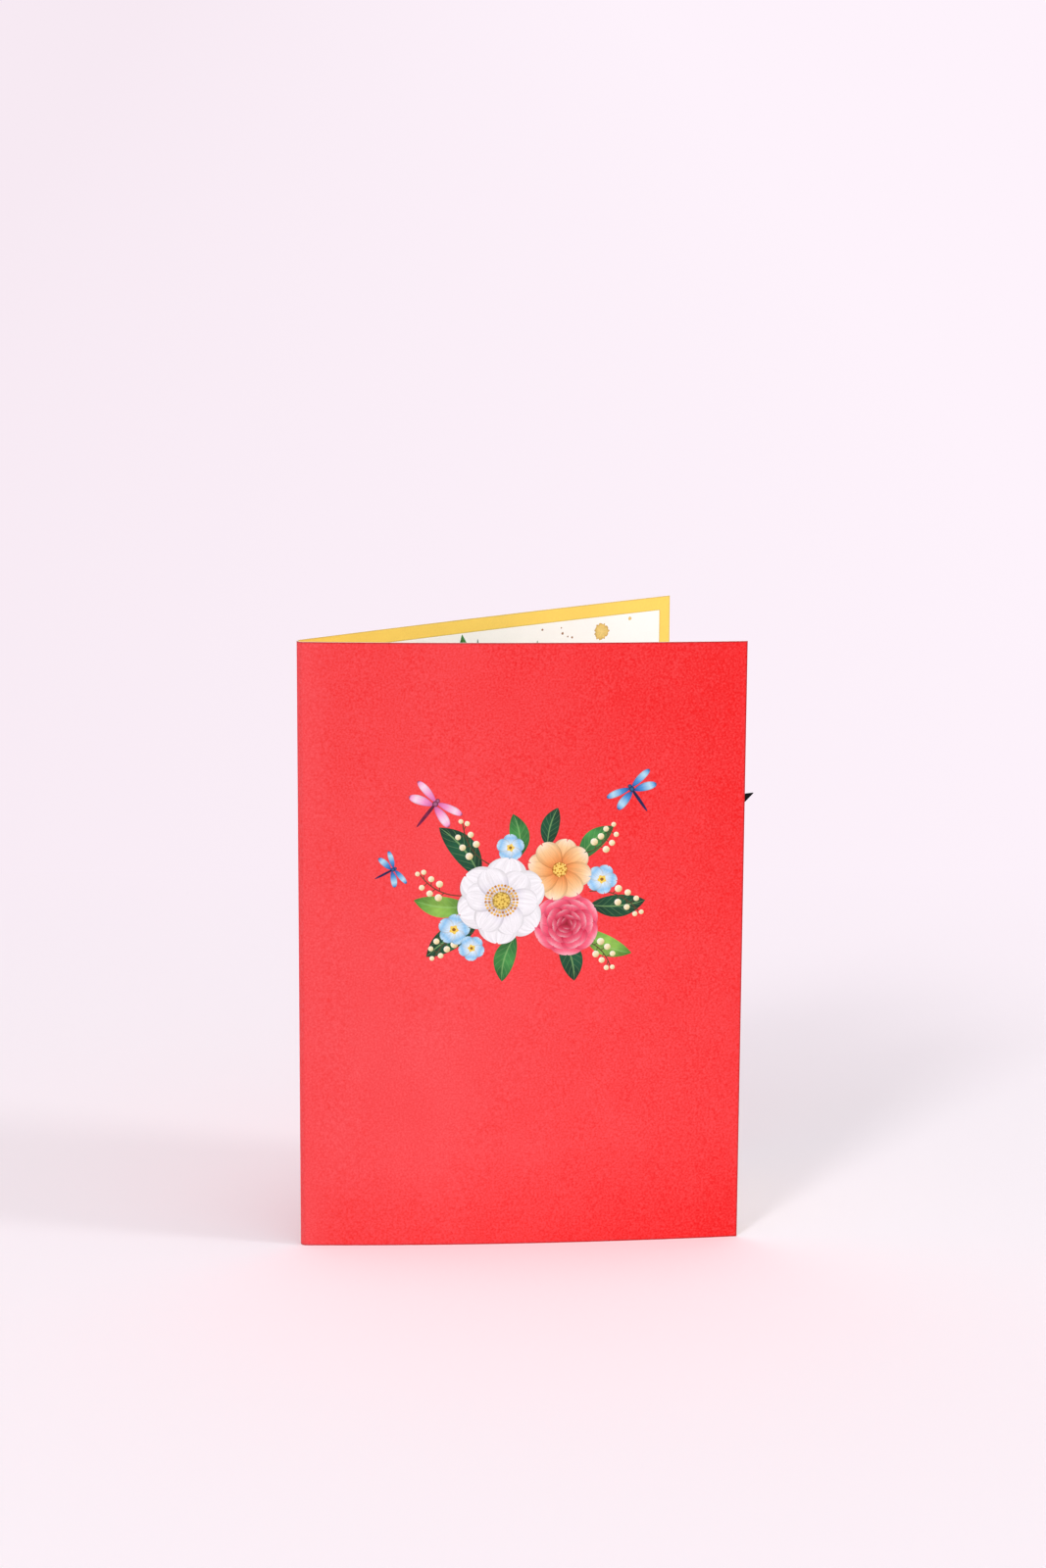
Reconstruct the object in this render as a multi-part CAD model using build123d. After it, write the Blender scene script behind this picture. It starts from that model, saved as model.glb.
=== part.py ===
from build123d import *
import os
from math import cos, hypot, pi, radians, sin, sqrt

# A greeting card: one folded sheet that stands part open on its foot,
# with a pop-up leaf spray, one cut and folded paper, glued to its inner faces.
# Millimetres and degrees. X runs from the fold to the fore edge along the top
# of the front leaf, the front leaf faces -Y, and +Z is up from the foot.

# Card sheet
LEAF_WIDTH = 127.0  # fold to fore edge, along the sheet
LEAF_HEIGHT = 177.8
CARD_THICKNESS = 0.4
FOLD_RADIUS = 1.6  # soft rolled fold, at the middle of the sheet
OPENING = 30.5  # rear leaf's chord from the front leaf's top chord
FRONT_TWIST = 2.7  # front leaf's chord, turned inward at the foot
FRONT_BOW_FOOT = 2.4  # the leaves belly outward between fold and fore edge
FRONT_BOW_TOP = 2.0
REAR_BOW = 0.9

# Pop-up sheet
POPUP_THICKNESS = 0.3
GLUE_FILM = 0.1  # between a glued flap and the card
GLUE_FOLD = 35.0  # card fold to each glue fold, along the leaf
PANEL_LENGTH = 40.0  # glue fold to ridge, on both sides, so that it folds flat
PANEL_FOOT = 57.0  # height of the panels' lower edge
PANEL_HEIGHT = 42.0
FRONT_FLAP = 26.0  # glued width, from the glue fold towards the fore edge
REAR_FLAP = 16.0  # glued width, from the glue fold towards the card's fold
FLAP_TAPER = 5.0  # slant of a flap's two ends

# Leaves of the spray that stands on the rear panel:
# tip from the card's fold, tip below the card's top edge, greatest width
SPRAY_LEAVES = (
    (38.5, 33.0, 11.0),
    (46.5, 2.1, 17.0),
    (50.9, 3.3, 8.0),
    (62.2, 4.3, 13.0),
    (68.0, 3.7, 9.0),
    (88.0, 18.0, 14.0),
    (105.0, 47.0, 14.0),
    (108.0, 84.0, 12.0),
)
SPRAY_ROOT = 58.0  # where the leaves meet, from the card's fold
SPRAY_SINK = 14.0  # and below the panels' upper edge

# Leaf on the front flap, whose tip stands out past the fore edge
OVERHANG = 1.9  # tip beyond the fore edge
OVERHANG_HEIGHT = 133.5  # tip above the foot
FLAP_LEAF_WIDTH = 17.0
FLAP_LEAF_ROOT = 13.0  # its base, from the glue fold along the flap
FLAP_LEAF_SINK = 6.0  # and below the panels' upper edge


class Leaf:
    """One leaf of the card in a level section: an arc that runs on from the rolled fold.

    side is 1 for the front leaf and -1 for the rear one.
    """

    def __init__(self, side, chord_angle, bow, length):
        turn = 8 * bow / length  # of a shallow arc, from its end to its end
        self.side = side
        self.length = length
        self.radius = length / turn
        self.heading = radians(chord_angle) - side * turn / 2

    def point(self, along, inward):
        """The point this far along the leaf from the fold, and this far in from mid-sheet."""
        heading = self.heading + self.side * along / self.radius
        shift = self.side * (FOLD_RADIUS - self.radius)
        reach = self.side * (self.radius - inward)
        x = FOLD_RADIUS + shift * sin(self.heading) + reach * sin(heading)
        y = -shift * cos(self.heading) - reach * cos(heading)
        return x, y

    def arc(self, start, end, inward):
        middle = (start + end) / 2
        return ThreePointArc(*(self.point(along, inward) for along in (start, middle, end)))


def level_leaves(front_angle, front_bow):
    """Front and rear leaf of one level section."""
    bend = pi - radians(OPENING - front_angle)
    length = LEAF_WIDTH - FOLD_RADIUS * bend / 2
    return Leaf(1, front_angle, front_bow, length), Leaf(-1, OPENING, REAR_BOW, length)


def fold_arc(front, rear, inward):
    """The rolled fold between the two leaves, at one depth in the sheet."""
    middle = (front.heading + rear.heading) / 2
    radius = FOLD_RADIUS - inward
    spine = (FOLD_RADIUS - radius * cos(middle), -radius * sin(middle))
    return ThreePointArc(front.point(0, inward), spine, rear.point(0, inward))


def ruled(foot_face, top_face):
    """Straight-ruled solid between a section at the foot and one at the top."""
    return loft([foot_face, Pos(0, 0, LEAF_HEIGHT) * top_face], ruled=True)


def card_section(front, rear):
    half = CARD_THICKNESS / 2
    end = front.length
    return make_face(
        [
            front.arc(end, 0, -half),
            fold_arc(front, rear, -half),
            rear.arc(0, end, -half),
            Line(rear.point(end, -half), rear.point(end, half)),
            rear.arc(end, 0, half),
            fold_arc(front, rear, half),
            front.arc(0, end, half),
            Line(front.point(end, half), front.point(end, -half)),
        ]
    )


def flap_section(leaf, start, end):
    """A strip of the pop-up sheet lying on a leaf's inner face, over the glue."""
    near = CARD_THICKNESS / 2 + GLUE_FILM
    far = near + POPUP_THICKNESS
    return make_face(
        [
            leaf.arc(start, end, near),
            Line(leaf.point(end, near), leaf.point(end, far)),
            leaf.arc(end, start, far),
            Line(leaf.point(start, far), leaf.point(start, near)),
        ]
    )


def ridge_point(front_fold, rear_fold):
    """Where two panels of equal length from the glue folds meet, away from the card's fold."""
    across_x = rear_fold[0] - front_fold[0]
    across_y = rear_fold[1] - front_fold[1]
    across = hypot(across_x, across_y)
    rise = sqrt(PANEL_LENGTH**2 - (across / 2) ** 2) / across
    x = (front_fold[0] + rear_fold[0]) / 2 + rise * across_y
    y = (front_fold[1] + rear_fold[1]) / 2 - rise * across_x
    return x, y


def panel_section(start, through, length):
    """A straight strip of the pop-up sheet from one point through another, lapped at its start."""
    run = hypot(through[0] - start[0], through[1] - start[1])
    along = ((through[0] - start[0]) / run, (through[1] - start[1]) / run)
    half = POPUP_THICKNESS / 2
    corners = []
    for distance, side in ((-half, -half), (length, -half), (length, half), (-half, half)):
        x = start[0] + distance * along[0] - side * along[1]
        y = start[1] + distance * along[1] + side * along[0]
        corners.append((x, y))
    return make_face(Polyline(*corners, close=True))


def blade(base, tip, width):
    """Outline of a pointed leaf: two arcs from base to tip."""
    run = hypot(tip[0] - base[0], tip[1] - base[1])
    across = (-(tip[1] - base[1]) / run * width / 2, (tip[0] - base[0]) / run * width / 2)
    middle = ((base[0] + tip[0]) / 2, (base[1] + tip[1]) / 2)
    upper = (middle[0] + across[0], middle[1] + across[1])
    lower = (middle[0] - across[0], middle[1] - across[1])
    return make_face([ThreePointArc(base, upper, tip), ThreePointArc(tip, lower, base)])


def band(start, end, taper):
    """Outline of a panel or a flap, between the panels' lower and upper edges; taper slants its end."""
    top = PANEL_FOOT + PANEL_HEIGHT
    corners = ((start, PANEL_FOOT), (end, PANEL_FOOT + taper), (end, top - taper), (start, top))
    return make_face(Polyline(*corners, close=True))


def cutter(outline, turn=0):
    """A prism of an outline drawn in X and Z, turned about the card's fold."""
    return Rot(0, 0, turn) * extrude(Plane.XZ * outline, LEAF_WIDTH, both=True)


foot_front, foot_rear = level_leaves(FRONT_TWIST, FRONT_BOW_FOOT)
top_front, top_rear = level_leaves(0, FRONT_BOW_TOP)
card = ruled(card_section(foot_front, foot_rear), card_section(top_front, top_rear))

# Glue folds and ridge of the pop-up sheet, at the foot and the top level
seat = (CARD_THICKNESS + POPUP_THICKNESS) / 2 + GLUE_FILM
foot_folds = foot_front.point(GLUE_FOLD, seat), foot_rear.point(GLUE_FOLD, seat)
top_folds = top_front.point(GLUE_FOLD, seat), top_rear.point(GLUE_FOLD, seat)
foot_ridge = ridge_point(*foot_folds)
top_ridge = ridge_point(*top_folds)

# Rear panel with the spray on it, and the plain front panel that holds it out
spray_outline = band(foot_folds[1][0] - POPUP_THICKNESS, foot_ridge[0], 0)
spray_root = (SPRAY_ROOT, PANEL_FOOT + PANEL_HEIGHT - SPRAY_SINK)
for tip_x, drop, width in SPRAY_LEAVES:
    spray_outline += blade(spray_root, (tip_x, LEAF_HEIGHT - drop), width)
rear_panel = ruled(
    panel_section(foot_folds[1], foot_ridge, LEAF_WIDTH),
    panel_section(top_folds[1], top_ridge, LEAF_WIDTH),
) & cutter(spray_outline)
panel_run = PANEL_LENGTH + POPUP_THICKNESS / 2
front_panel = ruled(
    panel_section(foot_folds[0], foot_ridge, panel_run),
    panel_section(top_folds[0], top_ridge, panel_run),
) & cutter(band(0, LEAF_WIDTH, 0))

# Front flap with its leaf, and the rear flap
flap_end = GLUE_FOLD + FRONT_FLAP
tip = (LEAF_WIDTH + OVERHANG, OVERHANG_HEIGHT)
base = (GLUE_FOLD + FLAP_LEAF_ROOT, PANEL_FOOT + PANEL_HEIGHT - FLAP_LEAF_SINK)
flap_outline = band(GLUE_FOLD, flap_end, FLAP_TAPER) + blade(base, tip, FLAP_LEAF_WIDTH)
flap_reach = LEAF_WIDTH + FLAP_LEAF_WIDTH
front_flap = ruled(
    flap_section(foot_front, GLUE_FOLD, flap_reach),
    flap_section(top_front, GLUE_FOLD, flap_reach),
) & cutter(flap_outline)
rear_start = GLUE_FOLD - REAR_FLAP
rear_flap = ruled(
    flap_section(foot_rear, rear_start, GLUE_FOLD),
    flap_section(top_rear, rear_start, GLUE_FOLD),
) & cutter(band(GLUE_FOLD + 2 * FOLD_RADIUS, rear_start, FLAP_TAPER), OPENING)
popup_spray = front_flap + front_panel + rear_panel + rear_flap

# The origin is on the foot, at the middle of the whole part
box = Compound(children=[card.solid(), popup_spray.solid()]).bounding_box()
to_origin = Pos(-box.center().X, -box.center().Y, -box.min.Z)

os.makedirs("parts", exist_ok=True)
for name, piece in (("card", card), ("popup_spray", popup_spray)):
    export_step(to_origin * piece, f"parts/{name}.step")
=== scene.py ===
import math

import bpy
import numpy as np
from mathutils import Matrix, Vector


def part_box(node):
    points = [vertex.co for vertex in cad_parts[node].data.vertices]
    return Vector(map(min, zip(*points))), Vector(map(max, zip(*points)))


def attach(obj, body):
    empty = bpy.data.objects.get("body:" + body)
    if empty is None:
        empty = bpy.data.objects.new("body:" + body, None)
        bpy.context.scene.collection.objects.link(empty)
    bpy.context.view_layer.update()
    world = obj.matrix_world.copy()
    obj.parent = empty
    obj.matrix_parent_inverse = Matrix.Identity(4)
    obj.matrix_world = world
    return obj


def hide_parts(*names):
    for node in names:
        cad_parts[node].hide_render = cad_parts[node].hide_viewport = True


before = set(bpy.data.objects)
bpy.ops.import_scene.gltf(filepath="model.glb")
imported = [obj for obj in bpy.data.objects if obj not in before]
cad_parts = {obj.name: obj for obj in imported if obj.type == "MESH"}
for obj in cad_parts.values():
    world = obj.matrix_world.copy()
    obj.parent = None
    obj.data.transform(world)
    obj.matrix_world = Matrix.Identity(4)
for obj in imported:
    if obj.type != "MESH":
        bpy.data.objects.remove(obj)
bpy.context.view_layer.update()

MM = 0.001

# Card sheet, as in the solid that it stands for
LEAF_WIDTH = 127.0 * MM
LEAF_HEIGHT = 177.8 * MM
CARD_THICKNESS = 0.4 * MM
FOLD_RADIUS = 1.6 * MM
OPENING = 30.5
FRONT_TWIST = 2.7
FRONT_BOW_FOOT = 2.4 * MM
FRONT_BOW_TOP = 2.0 * MM
REAR_BOW = 0.9 * MM
BORDER = 4.0 * MM  # printed margin inside, along the top and the foot
FORE_BORDER = 3.6 * MM  # and along the fore edges

# Pop-up sheet, as in the solid that it stands for
POPUP_THICKNESS = 0.3 * MM
GLUE_FILM = 0.1 * MM
GLUE_FOLD = 35.0 * MM
PANEL_LENGTH = 40.0 * MM
PANEL_FOOT = 57.0 * MM
PANEL_HEIGHT = 42.0 * MM
FRONT_FLAP = 26.0 * MM
REAR_FLAP = 16.0 * MM
FLAP_TAPER = 5.0 * MM
SPRAY_LEAVES = (  # tip from the card's fold, tip below the card's top edge, greatest width, in mm
    (38.5, 33.0, 11.0),
    (46.5, 2.1, 17.0),
    (50.9, 3.3, 8.0),
    (62.2, 4.3, 13.0),
    (68.0, 3.7, 9.0),
    (88.0, 18.0, 14.0),
    (105.0, 47.0, 14.0),
    (108.0, 84.0, 12.0),
)
SPRAY_ROOT = 58.0 * MM
SPRAY_SINK = 14.0 * MM
OVERHANG = 1.9 * MM
OVERHANG_HEIGHT = 133.5 * MM
FLAP_LEAF_WIDTH = 17.0 * MM
FLAP_LEAF_ROOT = 13.0 * MM
FLAP_LEAF_SINK = 6.0 * MM
LEAF_STEP = 0.02 * MM  # between overlapping leaves of the spray

# Ink on paper
INK = 0.003 * MM  # thickness of one printed layer
POSY = (66.0, 103.5)  # middle of the cover's posy: from the fold, above the foot, in mm

# Camera: the fitted place, in mm from the foot of the fold, and its angles in degrees
CAMERA_PLACE = (23.2, -1291.7, 444.5)
CAMERA_YAW = 1.785
CAMERA_PITCH = 13.413
CAMERA_ROLL = -0.243
FOCAL_PIXELS = 4794.4
IMAGE_HEIGHT = 1600
SENSOR = 36.0


def ink(red, green, blue):
    """A display colour, 0 to 255, as linear light."""
    share = np.array([red, green, blue]) / 255
    return np.where(share <= 0.04045, share / 12.92, ((share + 0.055) / 1.055) ** 2.4)


# The folded sheet


class Level:
    """One level section of the folded sheet, from a foot or a top edge.

    The fold is an arc about (FOLD_RADIUS, 0). Each leaf runs on from it as a shallow arc of the same
    tangent, whose chord lies at the leaf's angle and whose middle stands out from the chord by its bow.
    """

    def __init__(self, front_angle, front_bow):
        bend = math.pi - math.radians(OPENING - front_angle)
        self.length = LEAF_WIDTH - FOLD_RADIUS * bend / 2
        self.front = self.leaf_arc(1, front_angle, front_bow)
        self.rear = self.leaf_arc(-1, OPENING, REAR_BOW)

    def leaf_arc(self, side, chord_angle, bow):
        turn = 8 * bow / self.length
        return side, self.length / turn, math.radians(chord_angle) - side * turn / 2

    def leaf(self, arc, along, inward):
        """Point at a distance along a leaf from the fold and at a depth inward from mid-sheet."""
        side, radius, start = arc
        heading = start + side * along / radius
        shift = side * (FOLD_RADIUS - radius)
        reach = side * (radius - inward)
        x = FOLD_RADIUS + shift * math.sin(start) + reach * np.sin(heading)
        y = -shift * math.cos(start) - reach * np.cos(heading)
        return x, y

    def fold(self, share, inward):
        """Point on the fold's arc; share runs from -1 at the front leaf to 1 at the rear leaf."""
        front, rear = self.front[2], self.rear[2]
        middle = math.pi + (front + rear) / 2
        half = (math.pi + front - rear) / 2
        angle = middle - share * half
        radius = FOLD_RADIUS - inward
        return FOLD_RADIUS + radius * np.cos(angle), radius * np.sin(angle)


FOOT = Level(FRONT_TWIST, FRONT_BOW_FOOT)
TOP = Level(0, FRONT_BOW_TOP)
HALF_FOLD = LEAF_WIDTH - TOP.length  # half the fold, along the sheet


def section(level, along, inward):
    """Points of one level section; along is the distance from the fold's middle, negative on the front."""
    front = level.leaf(level.front, -along - HALF_FOLD, inward)
    rear = level.leaf(level.rear, along - HALF_FOLD, inward)
    fold = level.fold(np.clip(along / HALF_FOLD, -1, 1), inward)
    on_fold = np.abs(along) <= HALF_FOLD
    return [np.where(on_fold, f, np.where(along < 0, a, b)) for a, b, f in zip(front, rear, fold)]


def raw_sheet(along, height, inward):
    """The straight-ruled sheet between the foot and the top section, with the fold's foot at the origin."""
    along, height, inward = np.broadcast_arrays(along, height, inward)
    share = height / LEAF_HEIGHT
    foot = section(FOOT, along, inward)
    top = section(TOP, along, inward)
    x, y = (a + (b - a) * share for a, b in zip(foot, top))
    return np.stack([x, y, height], -1)


def fold_lines(count):
    """Distances along the whole sheet: close set round the fold, with lines on the printed border's edges."""
    leaf = np.linspace(HALF_FOLD, LEAF_WIDTH - FORE_BORDER, count)
    margin = np.linspace(LEAF_WIDTH - FORE_BORDER, LEAF_WIDTH, 4)[1:]
    half = np.concatenate([leaf, margin])
    fold = np.linspace(-HALF_FOLD, HALF_FOLD, 25)[1:-1]
    return np.concatenate([-half[::-1], fold, half])


def height_lines(count):
    """Heights up the sheet, with lines on the printed border's edges."""
    panel = np.linspace(BORDER, LEAF_HEIGHT - BORDER, count)
    margin = np.linspace(0, BORDER, 4)[:-1]
    return np.concatenate([margin, panel, LEAF_HEIGHT - margin[::-1]])


SHEET_LINES = 56  # on each leaf's panel, both ways
sheet_along = fold_lines(SHEET_LINES)
sheet_height = height_lines(SHEET_LINES)
own_low = raw_sheet(sheet_along[None, :], sheet_height[:, None], -CARD_THICKNESS / 2).min((0, 1))
ORIGIN = np.array(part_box("card")[0]) - own_low  # from the foot of the fold to the frame's origin


def sheet(along, height, inward):
    """Points of the folded sheet in the frame."""
    return raw_sheet(along, height, inward) + ORIGIN


# Meshes

SHARP_ANGLE = 40  # degrees between two faces that meet in a sharp edge


class Shells:
    """Closed thin shells, each between two grids of points, joined into one mesh."""

    def __init__(self):
        self.points = []
        self.quads = []
        self.uv = []
        self.colour = []
        self.slots = []
        self.count = 0

    def add(self, outer, inner, uv, colour, slots=(0, 0, 0)):
        """Adds the outer grid, the inner grid turned round and a strip along their four sides.

        slots are the material slots of the outer faces, the inner faces and the strip.
        """
        uv = np.broadcast_to(uv, outer.shape[:2] + (2,))
        colour = np.broadcast_to(colour, outer.shape)
        rows, columns = outer.shape[:2]
        cells = (rows - 1, columns - 1)
        outer_slots, inner_slots = (np.broadcast_to(s, cells) for s in slots[:2])
        normals = np.cross(np.diff(outer, axis=0)[:, :-1], np.diff(outer, axis=1)[:-1])
        if (normals * (outer - inner)[:-1, :-1]).sum() < 0:
            outer, inner, uv, colour = (a[:, ::-1] for a in (outer, inner, uv, colour))
            outer_slots, inner_slots = outer_slots[:, ::-1], inner_slots[:, ::-1]
        index = np.arange(rows * columns).reshape(rows, columns)
        a, b = index[:-1, :-1], index[1:, :-1]
        c, d = index[1:, 1:], index[:-1, 1:]
        below = rows * columns
        face = np.stack([a, b, c, d], -1).reshape(-1, 4)
        back = np.stack([a, d, c, b], -1).reshape(-1, 4) + below
        loop = np.concatenate([index[:-1, 0], index[-1, :-1], index[:0:-1, -1], index[0, :0:-1]])
        ahead = np.roll(loop, -1)
        rim = np.stack([loop + below, ahead + below, ahead, loop], -1)
        self.points += [outer.reshape(-1, 3), inner.reshape(-1, 3)]
        self.quads.append(np.concatenate([face, back, rim]) + self.count)
        self.uv += [uv.reshape(-1, 2)] * 2
        self.colour += [colour.reshape(-1, 3)] * 2
        self.slots += [outer_slots.ravel(), inner_slots.ravel(), np.full(len(rim), slots[2])]
        self.count += 2 * below

    def piece(self, name, materials, slot, node=None):
        """Makes the mesh object, which rides on the one body."""
        points = np.concatenate(self.points)
        quads = np.concatenate(self.quads)
        mesh = bpy.data.meshes.new(name)
        mesh.vertices.add(len(points))
        mesh.vertices.foreach_set("co", points.ravel())
        mesh.loops.add(quads.size)
        mesh.loops.foreach_set("vertex_index", quads.ravel())
        mesh.polygons.add(len(quads))
        mesh.polygons.foreach_set("loop_start", np.arange(0, quads.size, 4))
        mesh.polygons.foreach_set("loop_total", np.full(len(quads), 4))
        mesh.polygons.foreach_set("material_index", np.concatenate(self.slots))
        mesh.polygons.foreach_set("use_smooth", np.ones(len(quads), bool))
        layer = mesh.uv_layers.new(name="print")
        layer.data.foreach_set("uv", np.concatenate(self.uv)[quads.ravel()].ravel())
        attribute = mesh.color_attributes.new("ink", "FLOAT_COLOR", "POINT")
        rgba = np.column_stack([np.concatenate(self.colour), np.ones(len(points))])
        attribute.data.foreach_set("color", rgba.ravel())
        mesh.update(calc_edges=True)
        mesh.validate()
        mesh.set_sharp_from_angle(angle=math.radians(SHARP_ANGLE))
        for material in materials:
            mesh.materials.append(material)
        piece = bpy.data.objects.new(name, mesh)
        bpy.context.collection.objects.link(piece)
        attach(piece, "root")
        if node:
            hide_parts(node)


# Finishes

FIBRE = 2600  # paper fibres to the metre
MOTTLE = 70  # soft clouds in the ink, to the metre
COVER_FIBRE = 1700  # the same for the cover's stock
COVER_MOTTLE = 60
LEAF_MOTTLE = 420  # clouds in the leaves' ink, to the metre
FELT = 0.02 * MM  # depth of the paper's surface
MARGIN_LINE = 0.35 * MM  # darker line along the printed margin's edges
PAINTED_EDGE_SHADE = 0.5 * MM  # painted shade along the cover's cut edges, where the edge rolls over
SIDE_VEINS = 7.0  # to the length of a leaf
VEIN_SLANT = 1.7


class Finish:
    """A material's node tree, with short calls for the nodes that the finishes share."""

    def __init__(self, name, roughness, specular):
        self.material = bpy.data.materials.new(name)
        self.material.use_nodes = True
        self.nodes = self.material.node_tree.nodes
        self.links = self.material.node_tree.links
        self.shader = self.nodes["Principled BSDF"]
        self.shader.inputs["Roughness"].default_value = roughness
        self.shader.inputs["Specular IOR Level"].default_value = specular

    def node(self, kind, sockets=None, **settings):
        """A new node; sockets give inputs by name or place, as values or as outputs to link."""
        node = self.nodes.new(kind)
        for key, value in settings.items():
            setattr(node, key, value)
        for key, value in (sockets or {}).items():
            if isinstance(value, bpy.types.NodeSocket):
                self.links.new(value, node.inputs[key])
            else:
                node.inputs[key].default_value = value
        return node

    def math(self, operation, first, second=0.0, third=0.0):
        node = self.node("ShaderNodeMath", {0: first, 1: second, 2: third}, operation=operation)
        return node.outputs[0]

    def noise(self, vector, scale, detail=2.0, stretch=(1, 1, 1)):
        """Noise of a number of cells for each unit of length, after a stretch of the vector."""
        mapping = self.node("ShaderNodeMapping", {"Vector": vector, "Scale": stretch})
        sockets = {"Vector": mapping.outputs[0], "Scale": scale, "Detail": detail}
        return self.node("ShaderNodeTexNoise", sockets).outputs["Fac"]

    def remap(self, value, low, high, to_low, to_high, ease="LINEAR"):
        sockets = {"Value": value, "From Min": low, "From Max": high, "To Min": to_low, "To Max": to_high}
        return self.node("ShaderNodeMapRange", sockets, clamp=True, interpolation_type=ease).outputs[0]

    def scale_colour(self, colour, factor):
        """The colour times a number that varies over the surface."""
        sockets = {0: colour, "Scale": factor}
        return self.node("ShaderNodeVectorMath", sockets, operation="SCALE").outputs[0]

    def mix(self, factor, first, second):
        node = self.node("ShaderNodeMix", {"Factor": factor}, data_type="RGBA")
        for place, value in ((6, first), (7, second)):
            if isinstance(value, bpy.types.NodeSocket):
                self.links.new(value, node.inputs[place])
            else:
                node.inputs[place].default_value = (*value, 1)
        return node.outputs[2]

    def felt(self, fibres):
        """The paper's fine felt surface, raised by its fibres."""
        sockets = {"Height": fibres, "Distance": FELT, "Strength": 1.0}
        normal = self.node("ShaderNodeBump", sockets).outputs[0]
        self.links.new(normal, self.shader.inputs["Normal"])

    def spread(self, noise, low, high):
        """The middle of a noise, spread over a range."""
        return self.remap(noise, 0.3, 0.7, low, high)

    def colour(self, output):
        self.links.new(output, self.shader.inputs["Base Color"])

    def object_place(self):
        return self.node("ShaderNodeTexCoord").outputs["Object"]

    def print_place(self):
        return self.node("ShaderNodeUVMap", uv_map="print").outputs[0]

    def print_colour(self):
        return self.node("ShaderNodeAttribute", attribute_name="ink").outputs["Color"]

    def edge_distances(self):
        """Distances on the card from the nearer of foot and top, and from the fore edge."""
        place = self.node("ShaderNodeSeparateXYZ", {0: self.print_place()}).outputs
        level = self.math("MINIMUM", place[1], self.math("SUBTRACT", LEAF_HEIGHT, place[1]))
        side = self.math("SUBTRACT", LEAF_WIDTH, self.math("ABSOLUTE", place[0]))
        return level, side


def paper_finish(name, colour, roughness, specular, fibre, mottle=0.03, lined=False):
    """Printed stock: the ink's colour, with fibres and soft clouds in it, over a fine felt surface.

    A lined finish is the card's printed margin, which is darker along its outer and its inner edge.
    """
    finish = Finish(name, roughness, specular)
    place = finish.object_place()
    fibres = finish.noise(place, FIBRE, 3.0)
    clouds = finish.noise(place, MOTTLE, 2.0)
    fine = finish.spread(fibres, 1 - fibre, 1 + fibre)
    broad = finish.spread(clouds, 1 - mottle, 1 + mottle)
    tone = finish.math("MULTIPLY", fine, broad)
    if lined:
        level, side = finish.edge_distances()
        outer = finish.math("MINIMUM", level, side)
        from_top = finish.math("SUBTRACT", BORDER, level)
        from_side = finish.math("SUBTRACT", FORE_BORDER, side)
        inner = finish.math("MAXIMUM", from_top, from_side)
        line = finish.remap(finish.math("MINIMUM", outer, inner), 0.0, MARGIN_LINE, 0.6, 1.0)
        tone = finish.math("MULTIPLY", tone, line)
    finish.colour(finish.scale_colour(colour, tone))
    finish.felt(fibres)
    return finish.material


def cover_finish(name, deep, pale):
    """Red cover stock: a pale and a deep red mixed by fibres and clouds.

    The red is palest near the fold, a painted sheen. It deepens to the fore edge and, away from the fold, to
    the top and the foot, where the painted sheen fades. A painted shade darkens a line along the cut edges,
    where the edge rolls over.
    """
    finish = Finish(name, 0.5, 0.25)
    place = finish.object_place()
    fibres = finish.noise(place, COVER_FIBRE, 4.0)
    clouds = finish.noise(place, COVER_MOTTLE, 2.0)
    axes = finish.node("ShaderNodeSeparateXYZ", {0: place}).outputs
    # painted sheen: the red is paler near the fold and deepens to the fore edge, to the foot and to the top
    painted_sheen_fore = finish.remap(axes[0], -22 * MM, 60 * MM, -0.04, -0.235)
    painted_sheen_foot = finish.remap(axes[2], 0.0, 30 * MM, -0.13, 0.0)
    to_top = finish.remap(axes[2], 60 * MM, 178 * MM, 0.0, -0.12, "SMOOTHSTEP")
    off_fold = finish.remap(axes[0], -63.5 * MM, -54 * MM, 0.0, 1.0)
    # depth carries the painted sheen: away from the fold it deepens the red where the sheen fades
    depth = finish.math("MULTIPLY_ADD", finish.math("ADD", painted_sheen_foot, to_top), off_fold, painted_sheen_fore)
    factor = finish.math("MULTIPLY_ADD", fibres, 0.72, depth)
    factor = finish.math("MULTIPLY_ADD", clouds, 0.14, factor)
    # cut is a painted shade: a darker line along the cut edges, where the edge rolls over
    cut = finish.remap(finish.math("MINIMUM", *finish.edge_distances()), 0.0, PAINTED_EDGE_SHADE, 0.42, 1.0)
    finish.colour(finish.scale_colour(finish.mix(factor, deep, pale), cut))
    finish.felt(fibres)
    return finish.material


def petal_finish(name):
    """Ink of the flowers: each shape's own colours, with streaks that run along it."""
    finish = Finish(name, 0.55, 0.3)
    streaks = finish.noise(finish.print_place(), 1.0, 3.0, (1.6, 7.0, 1))
    fibres = finish.noise(finish.object_place(), FIBRE, 3.0)
    streak = finish.spread(streaks, 0.84, 1.06)
    fine = finish.spread(fibres, 0.97, 1.03)
    finish.colour(finish.scale_colour(finish.print_colour(), finish.math("MULTIPLY", streak, fine)))
    finish.felt(fibres)
    return finish.material


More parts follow.
